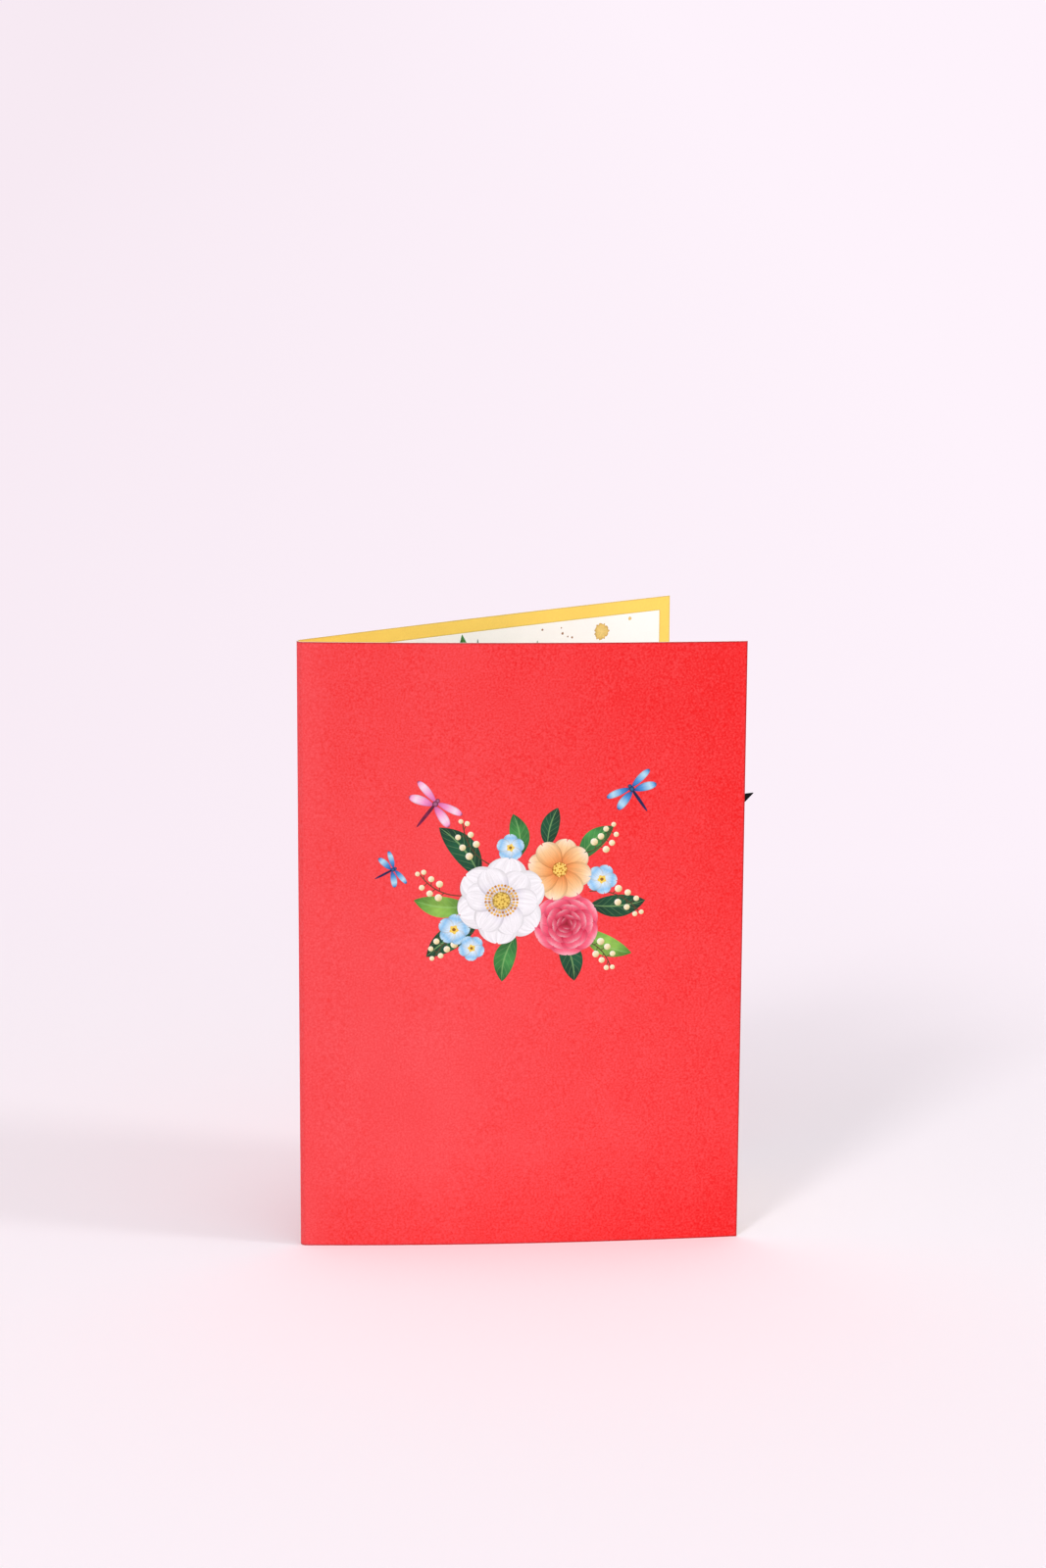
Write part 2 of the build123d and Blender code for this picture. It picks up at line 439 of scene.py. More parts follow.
def leaf_finish(name, vein_colour, vein_strength, specular=0.3):
    """Ink of the leaves: each leaf's own green, with a paler midrib and side veins, and soft mottling."""
    finish = Finish(name, 0.55, specular)
    parts = finish.node("ShaderNodeSeparateXYZ", {0: finish.print_place()})
    across = finish.math("ABSOLUTE", parts.outputs[1])
    midrib = finish.remap(across, 0.03, 0.1, 1.0, 0.0)
    run = finish.math("MULTIPLY", parts.outputs[0], SIDE_VEINS)
    slant = finish.math("MULTIPLY", across, VEIN_SLANT)
    step = finish.math("FRACT", finish.math("SUBTRACT", run, slant))
    away = finish.math("ABSOLUTE", finish.math("SUBTRACT", step, 0.5))
    side = finish.remap(away, 0.0, 0.09, 0.55, 0.0)
    edge = finish.remap(across, 0.75, 1.0, 1.0, 0.0)
    veins = finish.math("MAXIMUM", midrib, finish.math("MULTIPLY", side, edge))
    clouds = finish.noise(finish.object_place(), LEAF_MOTTLE, 3.0)
    green = finish.scale_colour(finish.print_colour(), finish.spread(clouds, 0.8, 1.2))
    finish.colour(finish.mix(finish.math("MULTIPLY", veins, vein_strength), green, vein_colour))
    finish.felt(finish.noise(finish.object_place(), FIBRE, 3.0))
    return finish.material


# Flat shapes for the print, in mm


def blend(share, *stops):
    """A colour for each share from 0 to 1, straight between stops of (share, colour)."""
    places = [stop[0] for stop in stops]
    colours = np.array([stop[1] for stop in stops])
    return np.stack([np.interp(share, places, colours[:, i]) for i in range(3)], -1)


def rim_shade(colour, across, depth, power=6):
    """The colour of a shape, darker along its two long edges."""
    return colour * (1 - depth * np.abs(across) ** power)[..., None]


def petal(length, width, fullness=1.0, notch=0.0, bend=0.0, rows=16, columns=9):
    """A petal along +Y from its base at the origin: points, share of the length, place across.

    It is an ellipse in equal steps of angle. Its shares are raised to the power fullness, so that under 1
    the widest place moves to the tip; the tip dips by notch, and the middle line bends sideways.
    """
    step = np.linspace(0.03, 0.97, rows)[:, None]
    across = np.linspace(-1, 1, columns)[None, :]
    share = ((1 - np.cos(np.pi * step)) / 2) ** fullness + 0 * across
    across = across + 0 * step
    x = across * width / 2 * np.sin(np.pi * step) + bend * share**2
    y = length * share - notch * np.exp(-((across / 0.4) ** 2)) * share**6
    return np.stack([x, y], -1), share, across


def lens(length, width, bend=0.0, rows=24, columns=9):
    """A pointed leaf along +Y from its base at the origin: the space between two equal arcs of a circle."""
    share = np.linspace(0.0015, 0.9985, rows)[:, None]
    across = np.linspace(-1, 1, columns)[None, :]
    radius = (length**2 + width**2) / (4 * width)
    half = np.sqrt(radius**2 - (length * (share - 0.5)) ** 2) - radius + width / 2
    x = across * half + bend * share * (1 - share) * 4
    y = length * share + 0 * across
    return np.stack([x, y], -1), share + 0 * across, across + 0 * share


def disc(radius, wobble=(), rows=9):
    """A round spot: a square grid pressed to a disc; wobble lists (waves, depth, turn) of its ragged rim."""
    a, b = np.meshgrid(np.linspace(-1, 1, rows), np.linspace(-1, 1, rows), indexing="ij")
    x = a * np.sqrt(1 - b**2 / 2)
    y = b * np.sqrt(1 - a**2 / 2)
    angle = np.arctan2(y, x)
    rim = 1 + sum(depth * np.cos(waves * angle + turn) for waves, depth, turn in wobble)
    points = radius * np.stack([x * rim, y * rim], -1)
    return points, np.hypot(x, y), angle / np.pi


def ribbon(start, bend, end, width, rows=14):
    """A thin stem of even width along the curve with three control points."""
    t = np.linspace(0, 1, rows)[:, None]
    start, bend, end = (np.array(p, float) for p in (start, bend, end))
    line = (1 - t) ** 2 * start + 2 * t * (1 - t) * bend + t**2 * end
    run = 2 * (1 - t) * (bend - start) + 2 * t * (end - bend)
    side = np.stack([-run[:, 1], run[:, 0]], -1) / np.hypot(run[:, 0], run[:, 1])[:, None]
    across = np.array([-1.0, 0.0, 1.0])
    points = line[:, None] + side[:, None] * (across * width / 2)[None, :, None]
    return points, t + 0 * across, across + 0 * t


def turned(points, degrees, centre):
    """Points turned from +Y clockwise by an angle, then moved to a centre."""
    angle = math.radians(degrees)
    c, s = math.cos(angle), math.sin(angle)
    return points @ np.array([[c, -s], [s, c]]) + np.array(centre)


class CoverPrint:
    """Shapes printed on a face of the card; each layer lies one ink's thickness over the last."""

    PETAL, LEAF = 0, 1  # material slots

    def __init__(self, side, face):
        self.side = side  # -1 front leaf, 1 rear leaf
        self.face = face  # -1 outer face, 1 inner face
        self.shells = Shells()
        self.shapes = 0

    def add(self, shape, colour, layer, slot=PETAL):
        """Lays one flat shape, drawn in mm from the fold and the foot, on the sheet."""
        points, share, across = shape
        along = self.side * points[..., 0] * MM
        height = points[..., 1] * MM
        depth = CARD_THICKNESS / 2 + layer * INK
        outer = sheet(along, height, self.face * (depth + INK))
        inner = sheet(along, height, self.face * (depth + INK / 4))
        uv = np.stack([share + 2 * self.shapes, across], -1)
        self.shells.add(outer, inner, uv, colour, (slot, slot, slot))
        self.shapes += 1


def move(shape, degrees, centre):
    """A shape turned and moved, as its points are by turned."""
    points, share, across = shape
    return turned(points, degrees, centre), share, across


# Cover flowers

WHITE = ink(248, 247, 250)
GOLD_CENTRE = ink(238, 186, 62)
OCHRE = ink(186, 120, 34)
SPRIG_BROWN = ink(86, 66, 40)
GOLDEN_ANGLE = 137.508


def dotted_centre(cover, centre, radius, count, layer, colours):
    """A round centre: a domed disc and dots along a golden-angle spiral."""
    dark, light, dot_dark, dot_light = colours
    shape = disc(radius)
    cover.add(move(shape, 0, centre), blend(shape[1], (0, light), (0.65, light), (1, dark)), layer)
    for i in range(count):
        turn = i * GOLDEN_ANGLE
        reach = radius * 0.94 * math.sqrt((i + 0.5) / count)
        spot = disc(radius * 0.62 / math.sqrt(count), rows=4)
        at = turned(np.array([0.0, reach]), turn, centre)
        colour = dot_light if i % 3 else dot_dark
        cover.add(move(spot, 0, at), colour, layer + 1 + i % 2)


def white_bloom(cover, centre, layer):
    """Open flower of two rings of broad white petals, with a ring of golden stamens."""
    rings = ((6, 12.8, 11.6, 8), (6, 10.2, 8.6, 38))  # petals, length, width, first turn
    for ring, (count, length, width, first) in enumerate(rings):
        for i in range(count):
            shape = petal(length, width, 0.72, 0.5, 0.5 * (-1) ** i)
            colour = blend(
                shape[1], (0, ink(172, 168, 188)), (0.3, ink(226, 222, 234)), (0.62, WHITE), (1, WHITE)
            )
            colour = rim_shade(colour, shape[2], 0.22, 8)
            cover.add(move(shape, first + i * 360 / count, centre), colour, layer + ring * 6 + i)
    layer += 12
    for count, reach in ((30, 4.5), (24, 3.5)):
        for i in range(count):
            turn = i * 360 / count + reach * 11
            tip = turned(np.array([0.0, reach]), turn, centre)
            middle = turned(np.array([0.15, reach / 2]), turn, centre)
            stem = ribbon(centre, middle, tip, 0.14, 5)
            cover.add(stem, ink(214, 176, 88), layer)
            cover.add(move(disc(0.36, rows=5), 0, tip), GOLD_CENTRE if i % 3 else OCHRE, layer + 1)
    colours = (ink(168, 132, 40), ink(232, 196, 84), ink(172, 124, 34), ink(246, 218, 116))
    dotted_centre(cover, centre, 2.6, 48, layer + 2, colours)


def coral_rose(cover, centre, layer):
    """Rose seen from above: rings of broad petals, smaller and deeper in colour to the middle."""
    rings = (  # petals, length, width, first turn, brightness
        (6, 9.4, 9.8, 0, 1.0),
        (6, 7.6, 8.2, 31, 0.92),
        (5, 5.8, 6.6, 8, 0.85),
        (5, 4.1, 5.0, 47, 0.78),
        (4, 2.7, 3.6, 20, 0.7),
        (3, 1.6, 2.4, 70, 0.62),
    )
    for ring, (count, length, width, first, level) in enumerate(rings):
        for i in range(count):
            shape = petal(length, width, 0.66, 0.25, 0.3 * (-1) ** i)
            colour = blend(
                shape[1],
                (0, ink(178, 10, 40)),
                (0.6, ink(242, 52, 92)),
                (0.86, ink(255, 104, 134)),
                (1, ink(255, 180, 192)),
            )
            colour = level * rim_shade(colour, shape[2], 0.2)
            cover.add(move(shape, first + i * 360 / count, centre), colour, layer + 3 * ring + i % 3)


def peach_cosmos(cover, centre, layer):
    """Open flower of one ring of broad notched petals in peach, round a dotted golden centre."""
    for i in range(8):
        shape = petal(9.2, 7.0, 0.7, 0.9, 0.3 * (-1) ** i)
        colour = blend(
            shape[1],
            (0, ink(214, 96, 34)),
            (0.35, ink(246, 164, 92)),
            (0.75, ink(253, 208, 152)),
            (1, ink(255, 232, 204)),
        )
        colour = rim_shade(colour, shape[2], 0.25)
        cover.add(move(shape, 12 + i * 45, centre), colour, layer + i)
    colours = (ink(190, 108, 26), ink(250, 200, 84), ink(176, 96, 20), ink(255, 226, 130))
    dotted_centre(cover, centre, 2.2, 40, layer + 8, colours)


def blue_blossom(cover, centre, size, turn, layer):
    """Small five-petalled blossom with a pale eye and a yellow middle."""
    for i in range(5):
        shape = petal(size, size * 0.98, 0.8, 0.12 * size)
        colour = blend(
            shape[1],
            (0, ink(240, 248, 255)),
            (0.35, ink(214, 236, 252)),
            (0.7, ink(146, 202, 242)),
            (1, ink(198, 230, 250)),
        )
        colour = rim_shade(colour, shape[2], 0.3)
        cover.add(move(shape, turn + 72 * i, centre), colour, layer + i)
    cover.add(move(disc(size * 0.26, ((5, 0.16, 0.0),)), turn, centre), ink(250, 214, 92), layer + 5)
    cover.add(move(disc(size * 0.11), 0, centre), ink(150, 98, 30), layer + 6)


DARK_GREEN = (ink(10, 52, 36), ink(22, 88, 56))
MID_GREEN = (ink(26, 92, 46), ink(70, 150, 72))
FRESH_GREEN = (ink(64, 128, 40), ink(150, 200, 84))
POSY_LEAVES = (  # root across and up from the posy's middle, length, width, turn from upright, bend, greens
    (-14, 6, 19, 7.4, -38, 1.6, DARK_GREEN),
    (-17, -2, 16, 6.2, -84, -1.2, FRESH_GREEN),
    (-15, -8, 17, 6.8, -122, 1.0, DARK_GREEN),
    (-4, -11, 14, 6.0, -164, 1.2, MID_GREEN),
    (9, -11, 14, 6.4, 164, -1.0, DARK_GREEN),
    (15, -9, 16, 6.0, 118, 1.4, FRESH_GREEN),
    (17, -2, 16, 6.6, 86, 1.0, DARK_GREEN),
    (14, 11, 14, 5.8, 44, -1.2, MID_GREEN),
    (-3, 12, 13, 5.6, -8, 1.0, MID_GREEN),
    (5, 15, 12, 5.2, 14, -0.8, DARK_GREEN),
)


def posy_leaves(cover, layer):
    """Pointed leaves round the flowers, each darker on one side of its midrib."""
    for i, (x, y, length, width, turn, bend, greens) in enumerate(POSY_LEAVES):
        shape = lens(length, width, bend)
        root = (POSY[0] + x, POSY[1] + y)
        colour = blend(shape[1], (0, greens[0]), (0.55, greens[1]), (1, greens[0]))
        colour = colour * (1 - 0.25 * (shape[2] > 0))[..., None]
        cover.add(move(shape, turn, root), colour, layer + i % 3, cover.LEAF)


SPRIGS = (  # root and tip from the posy's middle, sideways bow
    (-9, 9, -19, 22, 2.5),
    (-18, 1, -31, 7, 2.0),
    (-16, -10, -27, -17, -2.0),
    (13, -12, 23, -20, 2.0),
    (17, 2, 31, -4, 2.0),
    (13, 13, 23, 21, -2.5),
)
BERRIES = 7


def berry_sprigs(cover, layer):
    """Fine curved stems with pale berries set to both sides of them and one at the tip."""
    for x0, y0, x1, y1, bow in SPRIGS:
        root = np.array([POSY[0] + x0, POSY[1] + y0])
        tip = np.array([POSY[0] + x1, POSY[1] + y1])
        run = tip - root
        side = np.array([-run[1], run[0]]) / np.hypot(*run)
        bend = (root + tip) / 2 + 2 * bow * side
        cover.add(ribbon(root, bend, tip, 0.3), SPRIG_BROWN, layer)
        for i in range(BERRIES):
            t = 0.42 + 0.58 * i / (BERRIES - 1)
            at = (1 - t) ** 2 * root + 2 * t * (1 - t) * bend + t**2 * tip
            last = i == BERRIES - 1
            out = side * (0 if last else 1.9 * (-1) ** i) + run / np.hypot(*run) * 0.9
            berry = disc(1.05 - 0.06 * i, rows=7)
            centre = at + out
            cover.add(ribbon(at, at + out * 0.3, centre, 0.22, 5), SPRIG_BROWN, layer)
            points = move(berry, 0, centre)
            light = np.clip(0.5 + (points[0] - centre) @ np.array([-0.35, 0.35]), 0, 1)
            colour = blend(light, (0, ink(214, 190, 122)), (0.5, ink(247, 234, 190)), (1, ink(255, 252, 238)))
            cover.add(points, colour, layer + 1)


BLUE_WINGS = (ink(28, 62, 148), ink(74, 150, 216), ink(186, 228, 246), ink(16, 24, 66))
PINK_WINGS = (ink(214, 84, 160), ink(246, 150, 204), ink(255, 222, 240), ink(92, 16, 52))
DRAGONFLIES = (  # from the fold, above the foot, size, turn from upright, colours
    (39.0, 131.0, 1.0, 38, PINK_WINGS),
    (95.0, 135.0, 0.92, -34, BLUE_WINGS),
    (27.0, 112.0, 0.68, 62, BLUE_WINGS),
)


def dragonfly(cover, x, y, size, turn, colours, layer):
    """Two pairs of slim wings across a long tapered body."""
    root, middle, pale, body = colours
    for along, length, width, angle in ((0.9, 7.8, 2.2, 74), (-0.3, 7.2, 2.7, 104)):
        for side in (-1, 1):
            shape = petal(length * size, width * size, 0.78, 0, side * 0.5 * size)
            colour = blend(shape[1], (0, root), (0.35, middle), (0.72, pale), (0.93, middle), (1, body))
            colour = rim_shade(colour, shape[2], 0.35)
            wing = turned(shape[0], side * angle, (side * 0.3 * size, along * size))
            cover.add(move((wing, *shape[1:]), turn, (x, y)), colour, layer + (angle > 90))
    tail = petal(8.6 * size, 1.0 * size, 1.25)
    tail_points = turned(tail[0], 180, (0, 0.4 * size))
    bands = 0.7 + 0.5 * np.cos(tail[1] * 40) ** 2
    cover.add(move((tail_points, *tail[1:]), turn, (x, y)), body * 1.6 * bands[..., None], layer + 2)
    for reach, radius in ((0.4, 0.85), (1.55, 0.62)):
        spot = disc(radius * size, rows=6)
        at = turned(np.array([0.0, reach * size]), turn, (x, y))
        cover.add(move(spot, 0, at), blend(spot[1], (0, middle * 0.6), (1, body)), layer + 3)


def cover_posy(petal_ink, leaf_ink):
    """The printed posy and the dragonflies round it, on the front leaf's outer face."""
    cover = CoverPrint(-1, -1)
    x, y = POSY
    posy_leaves(cover, 0)
    berry_sprigs(cover, 3)
    blue_blossom(cover, (x - 21.5, y - 9.0), 4.6, 10, 5)
    blue_blossom(cover, (x - 16.5, y - 14.5), 3.8, 40, 5)
    blue_blossom(cover, (x + 20.5, y + 5.5), 4.4, 25, 5)
    blue_blossom(cover, (x - 5.5, y + 15.0), 4.0, 0, 5)
    coral_rose(cover, (x + 10.5, y - 7.5), 12)
    peach_cosmos(cover, (x + 8.5, y + 8.5), 30)
    white_bloom(cover, (x - 8.0, y - 0.5), 41)
    for place in DRAGONFLIES:
        dragonfly(cover, *place, 0)
    cover.shells.piece("cover_posy", [petal_ink, leaf_ink], "card_stock")


# Inside print

SPLATTER = (  # on the rear leaf's panel: from the fold, below the top edge, radius, in mm
    (103.4, 8.4, 2.4),
    (113.2, 5.5, 0.52),
    (83.1, 5.8, 0.32),
    (89.6, 5.9, 0.22),
    (90.0, 7.6, 0.38),
    (91.8, 8.7, 0.25),
    (93.3, 9.1, 0.32),
    (98.0, 34.0, 0.9),
    (109.0, 41.0, 0.4),
    (112.0, 44.0, 1.3),
    (104.0, 150.0, 1.6),
    (110.0, 143.0, 0.5),
    (93.0, 158.0, 0.8),
    (24.0, 152.0, 1.1),
    (30.0, 160.0, 0.5),
)
SMALL_FLECK = 0.45  # radius up to which a fleck is a plain brown dot


def gold_splatter(gold_ink):
    """Ragged flecks of gold on both inner panels; the front leaf's are the same flecks turned top to foot."""
    for name, side in (("rear_splatter", 1), ("front_splatter", -1)):
        panel = CoverPrint(side, 1)
        for i, (x, drop, radius) in enumerate(SPLATTER):
            rim = ((11 + i % 4, 0.07, i), (17, 0.05, 2.0 * i), (3, 0.05, 0.7 * i))
            height = LEAF_HEIGHT / MM - drop if side > 0 else drop
            spot = disc(radius, rim, 25 if radius > 1 else 9)
            stops = (0, ink(244, 212, 128)), (0.75, ink(238, 200, 110)), (1, ink(206, 160, 72))
            colour = blend(spot[1], *stops) if radius > SMALL_FLECK else ink(158, 108, 66)
            panel.add(move(spot, 0, (x, height)), colour, 0)
        panel.shells.piece(name, [gold_ink], "card_stock")


# The card


def folded_card():
    """The whole folded sheet: red outside, a gold margin and an ivory panel inside, pale cut edges."""
    cover = cover_finish("cover_red", ink(238, 10, 9), ink(252, 114, 120))
    gold = paper_finish("border_gold", ink(255, 213, 94), 0.5, 0.3, 0.04, 0.03, True)
    ivory = paper_finish("panel_ivory", ink(255, 250, 244), 0.65, 0.2, 0.015, 0.015)
    edge = paper_finish("cut_edge", ink(244, 236, 226), 0.75, 0.15, 0.06, 0.03)
    along, height = np.meshgrid(sheet_along, sheet_height)
    outer = sheet(along, height, -CARD_THICKNESS / 2)
    inner = sheet(along, height, CARD_THICKNESS / 2)
    mid_along = (along[:-1, :-1] + along[:-1, 1:]) / 2
    mid_height = (height[:-1, :-1] + height[1:, :-1]) / 2
    to_top = np.minimum(mid_height, LEAF_HEIGHT - mid_height)
    to_side = LEAF_WIDTH - np.abs(mid_along)
    inside = np.where((to_top < BORDER) | (to_side < FORE_BORDER), 1, 2)
    shells = Shells()
    shells.add(outer, inner, np.stack([along, height], -1), ink(255, 255, 255), (0, inside, 3))
    shells.piece("folded_card", [cover, gold, ivory, edge], "card_stock", "card")


# The pop-up


def popup_folds():
    """Glue folds and ridge of the pop-up sheet, at the foot and the top level, from the card's fold."""
    seat = (CARD_THICKNESS + POPUP_THICKNESS) / 2 + GLUE_FILM
    levels = []
    for level in (FOOT, TOP):
        front = np.array(level.leaf(level.front, GLUE_FOLD, seat))
        rear = np.array(level.leaf(level.rear, GLUE_FOLD, seat))
        across = rear - front
        rise = math.sqrt(PANEL_LENGTH**2 / (across @ across) - 0.25)
        ridge = (front + rear) / 2 + rise * np.array([across[1], -across[0]])
        levels.append((front, rear, ridge))
    return levels


POPUP_LEVELS = popup_folds()


def panel(start, x, height, offset):
    """Points of a pop-up panel's plane at distances x from the card's fold; offset is across the sheet.

    The plane runs at each level from the glue fold numbered start through the ridge.
    """
    share = height / LEAF_HEIGHT
    y = []
    for level in POPUP_LEVELS:
        begin, ridge = level[start], level[2]
        slope = (ridge[1] - begin[1]) / (ridge[0] - begin[0])
        y.append(begin[1] + slope * (x - begin[0]) + offset * math.hypot(1, slope))
    return np.stack([x, y[0] + (y[1] - y[0]) * share, height], -1) + ORIGIN


def front_inside(x, height, inward):
    """Points over the front leaf's inner face at distances x from the card's fold.

    At each level the leaf's arc is read where it crosses x, and the two levels are ruled together.
    """
    along = np.linspace(0, 1.2 * LEAF_WIDTH, 400)
    y = []
    for level in (FOOT, TOP):
        arc = level.leaf(level.front, along, inward)
        y.append(np.interp(x, *arc))
    return np.stack([x, y[0] + (y[1] - y[0]) * height / LEAF_HEIGHT, height], -1) + ORIGIN


def strip(start, end, taper=0.0, rows=12, columns=12):
    """Grid of a panel or flap: distances from start to end, heights between the panels' edges."""
    share = np.linspace(0, 1, columns)[None, :]
    up = np.linspace(0, 1, rows)[:, None]
    low = PANEL_FOOT + taper * share
    high = PANEL_FOOT + PANEL_HEIGHT - taper * share
    return start + (end - start) * share + 0 * up, low + (high - low) * up


def blade(base, tip, width):
    """A pointed leaf from base to tip: its grid, place along it and place across it."""
    run = np.subtract(tip, base)
    length = np.hypot(*run)
    points, share, across = lens(length, width, rows=40, columns=13)
    turn = math.degrees(math.atan2(run[0], run[1]))
    return turned(points, turn, base), share, across


SPRAY_GREENS = (
    (ink(34, 84, 44), ink(96, 150, 78)),
    (ink(30, 86, 40), ink(66, 140, 62)),
    (ink(18, 48, 28), ink(44, 84, 48)),
)
DARK_LEAF = (ink(8, 8, 8), ink(18, 20, 19))
DARK_LEAF_SHIFT = 40  # sets its print apart from the other leaves' in the UV map
PAPER_WHITE = ink(250, 246, 238)
GREEN_SLOTS, PAPER_SLOTS, DARK_SLOTS = ((slot, slot, slot) for slot in range(3))


def popup(popup_leaf, popup_paper):
    """One cut sheet: flap and dark leaf on the front leaf, two panels, the leaf spray and the rear flap."""
    shells = Shells()
    half = POPUP_THICKNESS / 2
    near = CARD_THICKNESS / 2 + GLUE_FILM
    far = near + POPUP_THICKNESS
    front_fold, rear_fold, ridge = POPUP_LEVELS[0]
    for start, fold in ((0, front_fold), (1, rear_fold)):
        x, height = strip(fold[0], ridge[0])
        grids = panel(start, x, height, half), panel(start, x, height, -half)
        shells.add(*grids, np.stack([x, height], -1), PAPER_WHITE, PAPER_SLOTS)
    x, height = strip(front_fold[0], GLUE_FOLD + FRONT_FLAP, FLAP_TAPER)
    grids = front_inside(x, height, far), front_inside(x, height, near)
    shells.add(*grids, np.stack([x, height], -1), PAPER_WHITE, PAPER_SLOTS)
    x, height = strip(GLUE_FOLD, GLUE_FOLD - REAR_FLAP, FLAP_TAPER)
    grids = sheet(x + HALF_FOLD, height, far), sheet(x + HALF_FOLD, height, near)
    shells.add(*grids, np.stack([x, height], -1), PAPER_WHITE, PAPER_SLOTS)

    root = (SPRAY_ROOT, PANEL_FOOT + PANEL_HEIGHT - SPRAY_SINK)
    for i, (tip_x, drop, width) in enumerate(SPRAY_LEAVES):
        points, share, across = blade(root, (tip_x * MM, LEAF_HEIGHT - drop * MM), width * MM)
        greens = SPRAY_GREENS[i % 3]
        colour = blend(share, (0, greens[0]), (0.7, greens[1]), (1, greens[1]))
        colour = colour * (1 - 0.3 * (across < 0))[..., None]
        lift = LEAF_STEP * (i + 1)
        grids = [panel(1, points[..., 0], points[..., 1], side * (half + lift)) for side in (-1, 1)]
        shells.add(*grids, np.stack([share + 2 * i, across], -1), colour, GREEN_SLOTS)
    tip = (LEAF_WIDTH + OVERHANG, OVERHANG_HEIGHT)
    base = (GLUE_FOLD + FLAP_LEAF_ROOT, PANEL_FOOT + PANEL_HEIGHT - FLAP_LEAF_SINK)
    points, share, across = blade(base, tip, FLAP_LEAF_WIDTH)
    x, height = points[..., 0], points[..., 1]
    grids = front_inside(x, height, far + LEAF_STEP), front_inside(x, height, near - LEAF_STEP)
    colour = blend(share, (0, DARK_LEAF[0]), (0.5, DARK_LEAF[1]), (1, DARK_LEAF[0]))
    shells.add(*grids, np.stack([share + DARK_LEAF_SHIFT, across], -1), colour, DARK_SLOTS)
    dark_leaf = leaf_finish("flap_leaf_dark", ink(34, 38, 36), 0.5, specular=0.1)
    shells.piece("popup_leaves", [popup_leaf, popup_paper, dark_leaf], "popup_paper", "popup_spray")


# Stage

TONE_START = 0.1  # behind the origin, where the backdrop's own tone begins, and where it is full
TONE_FULL = 0.4
FALLOFF_LEFT = -0.35  # where the painted falloff makes that tone darkest, and where it is palest
FALLOFF_RIGHT = 0.3
LAMP_DISTANCE = 5.2


def backdrop_finish():
    """Pale matt paper; well behind the card it shows a pale tone of its own, with a painted falloff a little
    darker to the left.
    """
    finish = Finish("backdrop_pale", 0.9, 0.1)
    finish.shader.inputs["Base Color"].default_value = (*ink(254, 246, 252), 1)
    across, depth = finish.node("ShaderNodeSeparateXYZ", {0: finish.object_place()}).outputs[:2]
    far = finish.remap(depth, TONE_START, TONE_FULL, 0.0, 1.0)
    side = finish.remap(across, FALLOFF_LEFT, FALLOFF_RIGHT, 0.0, 1.0)
    path = finish.node("ShaderNodeLightPath").outputs
    seen = finish.math("MAXIMUM", path["Is Camera Ray"], path["Is Glossy Ray"])
    seen = finish.math("MAXIMUM", seen, path["Is Transmission Ray"])
    # painted falloff: the glow is a little darker to the left
    tone = finish.mix(side, ink(247, 234, 243), ink(254, 243, 252))
    glow = finish.node("ShaderNodeEmission", {"Color": tone})
    factor = finish.math("MULTIPLY", far, seen)
    mixed = finish.node("ShaderNodeMixShader", {0: factor, 1: finish.shader.outputs[0], 2: glow.outputs[0]})
    finish.links.new(mixed.outputs[0], finish.nodes["Material Output"].inputs["Surface"])
    return finish.material


def backdrop():
    """Pale floor that sweeps up behind the card in one curve: a straight run, an arc and a straight rise."""
    near, bend_start, radius, height = -12.0, 6.0, 1.6, 4.0
    arc = np.linspace(0, math.pi / 2, 24)
    y = np.concatenate([np.linspace(near, bend_start, 12), bend_start + radius * np.sin(arc[1:])])
    z = np.concatenate([np.zeros(12), radius * (1 - np.cos(arc[1:]))])
    y = np.append(y, y[-1])
    z = np.append(z, height)
    x = np.linspace(-12, 12, 9)
    grid = np.stack(np.broadcast_arrays(x[None, :], y[:, None], z[:, None]), -1)
    rows, columns = grid.shape[:2]
    index = np.arange(rows * columns).reshape(rows, columns)
    quads = np.stack([index[:-1, :-1], index[:-1, 1:], index[1:, 1:], index[1:, :-1]], -1).reshape(-1, 4)
    mesh = bpy.data.meshes.new("backdrop")
    mesh.from_pydata(grid.reshape(-1, 3).tolist(), [], quads.tolist())
    mesh.polygons.foreach_set("use_smooth", np.ones(len(quads), bool))
    mesh.materials.append(backdrop_finish())
    sweep = bpy.data.objects.new("backdrop", mesh)
    bpy.context.collection.objects.link(sweep)


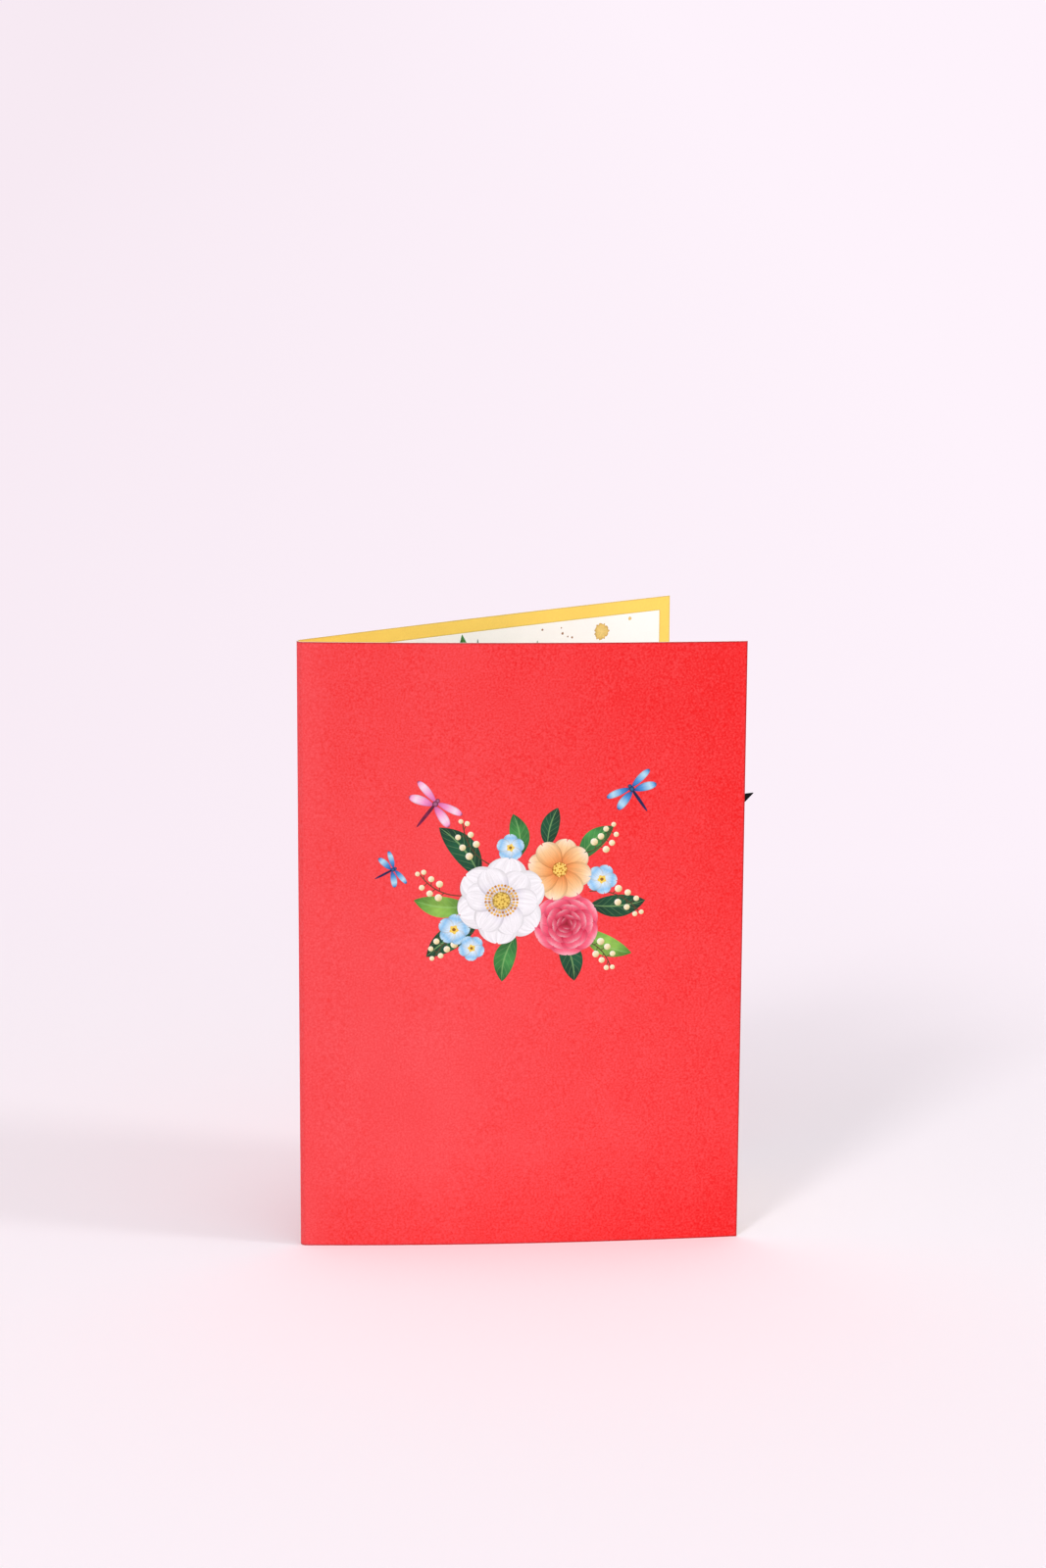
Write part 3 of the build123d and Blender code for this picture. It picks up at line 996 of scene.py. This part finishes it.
def lamp(name, azimuth, elevation, size, power):
    """A soft box aimed at the middle of the card; azimuth is to the right of the camera's side."""
    a, e = math.radians(azimuth), math.radians(elevation)
    aim = np.array([0.0, 0.0, LEAF_HEIGHT / 2])
    out = np.array([math.sin(a) * math.cos(e), -math.cos(a) * math.cos(e), math.sin(e)])
    side = np.array([math.cos(a), math.sin(a), 0.0])
    up = np.cross(out, side)
    data = bpy.data.lights.new(name, "AREA")
    data.shape = "DISK"
    data.size = size
    data.energy = power
    light = bpy.data.objects.new(name, data)
    matrix = np.eye(4)
    matrix[:3, :] = np.column_stack([side, up, out, aim + LAMP_DISTANCE * out])
    light.matrix_world = Matrix(matrix.tolist())
    bpy.context.collection.objects.link(light)


def studio():
    """An even pale surround and four soft boxes."""
    world = bpy.data.worlds.new("studio")
    world.use_nodes = True
    sky = world.node_tree.nodes["Background"]
    sky.inputs["Color"].default_value = (1.0, 0.985, 0.995, 1)
    sky.inputs["Strength"].default_value = 0.48
    bpy.context.scene.world = world
    lamp("key_box", -27, 34, 1.1, 70.5)
    lamp("top_box", 0, 85, 3.2, 70.5)
    lamp("low_box", 33, 2, 0.3, 6.1)
    lamp("side_box", 75, 12, 1.2, 115)


def camera():
    """The camera that the card's traced edges fit: pitched down, with a slight yaw and roll."""
    yaw, pitch, roll = (math.radians(v) for v in (CAMERA_YAW, CAMERA_PITCH, CAMERA_ROLL))
    forward = np.array([math.sin(yaw) * math.cos(pitch), math.cos(yaw) * math.cos(pitch), -math.sin(pitch)])
    right = np.array([math.cos(yaw), -math.sin(yaw), 0.0])
    down = np.cross(forward, right)
    turned_right = math.cos(roll) * right + math.sin(roll) * down
    turned_down = math.cos(roll) * down - math.sin(roll) * right
    data = bpy.data.cameras.new("camera")
    data.sensor_fit = "VERTICAL"
    data.sensor_height = SENSOR
    data.lens = FOCAL_PIXELS * SENSOR / IMAGE_HEIGHT
    data.clip_start = 0.05
    data.clip_end = 60
    eye = bpy.data.objects.new("camera", data)
    matrix = np.eye(4)
    place = np.array(CAMERA_PLACE) * MM + ORIGIN
    matrix[:3, :] = np.column_stack([turned_right, -turned_down, -forward, place])
    eye.matrix_world = Matrix(matrix.tolist())
    bpy.context.collection.objects.link(eye)
    bpy.context.scene.camera = eye


folded_card()
cover_posy(petal_finish("petal_ink"), leaf_finish("leaf_ink", ink(150, 196, 120), 0.5))
gold_splatter(petal_finish("splatter_gold"))
popup_leaf = leaf_finish("popup_leaf", ink(150, 180, 120), 0.4)
popup_paper = paper_finish("popup_panel", PAPER_WHITE, 0.65, 0.2, 0.02)
popup(popup_leaf, popup_paper)
backdrop()
studio()
camera()
bpy.context.scene.view_settings.view_transform = "Standard"
